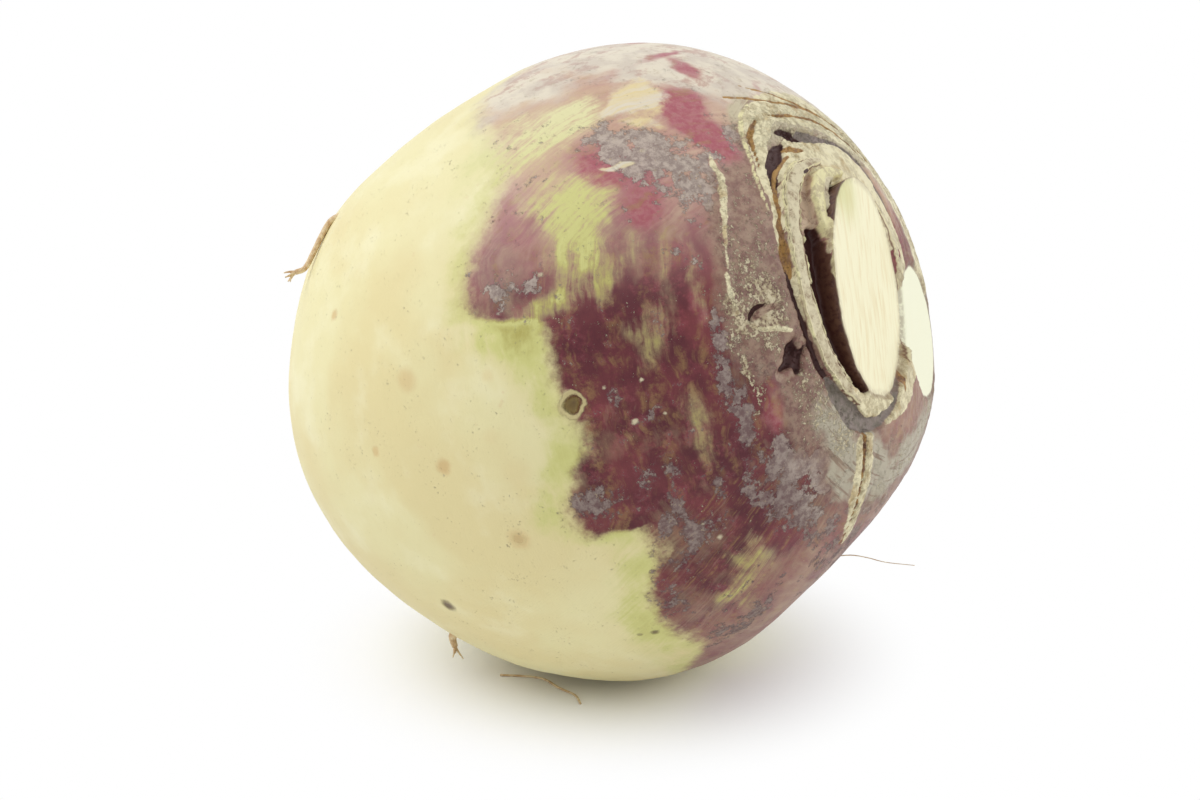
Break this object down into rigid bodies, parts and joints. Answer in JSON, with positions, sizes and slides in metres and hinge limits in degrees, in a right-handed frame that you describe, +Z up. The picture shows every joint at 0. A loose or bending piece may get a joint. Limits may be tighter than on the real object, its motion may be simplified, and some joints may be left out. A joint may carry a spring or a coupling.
{
  "type": "rutabaga",
  "caption": "Whole rutabaga root lying on its side, ball-shaped, with a trimmed leafless crown at one end and a cut taproot at the other.",
  "frame": {"origin": "middle of the bounding box, at the height of the flat spot that it rests on", "axes": "+Z up; +X is the horizontal direction in which the raised crown points"},
  "size_m": [0.1206, 0.118, 0.1165],
  "materials": {
    "skin": "cream root skin, purple and grey-brown towards the crown, satin"
  },
  "bodies": {
    "root": {"rutabaga": "skin"}
  },
  "joints": []
}
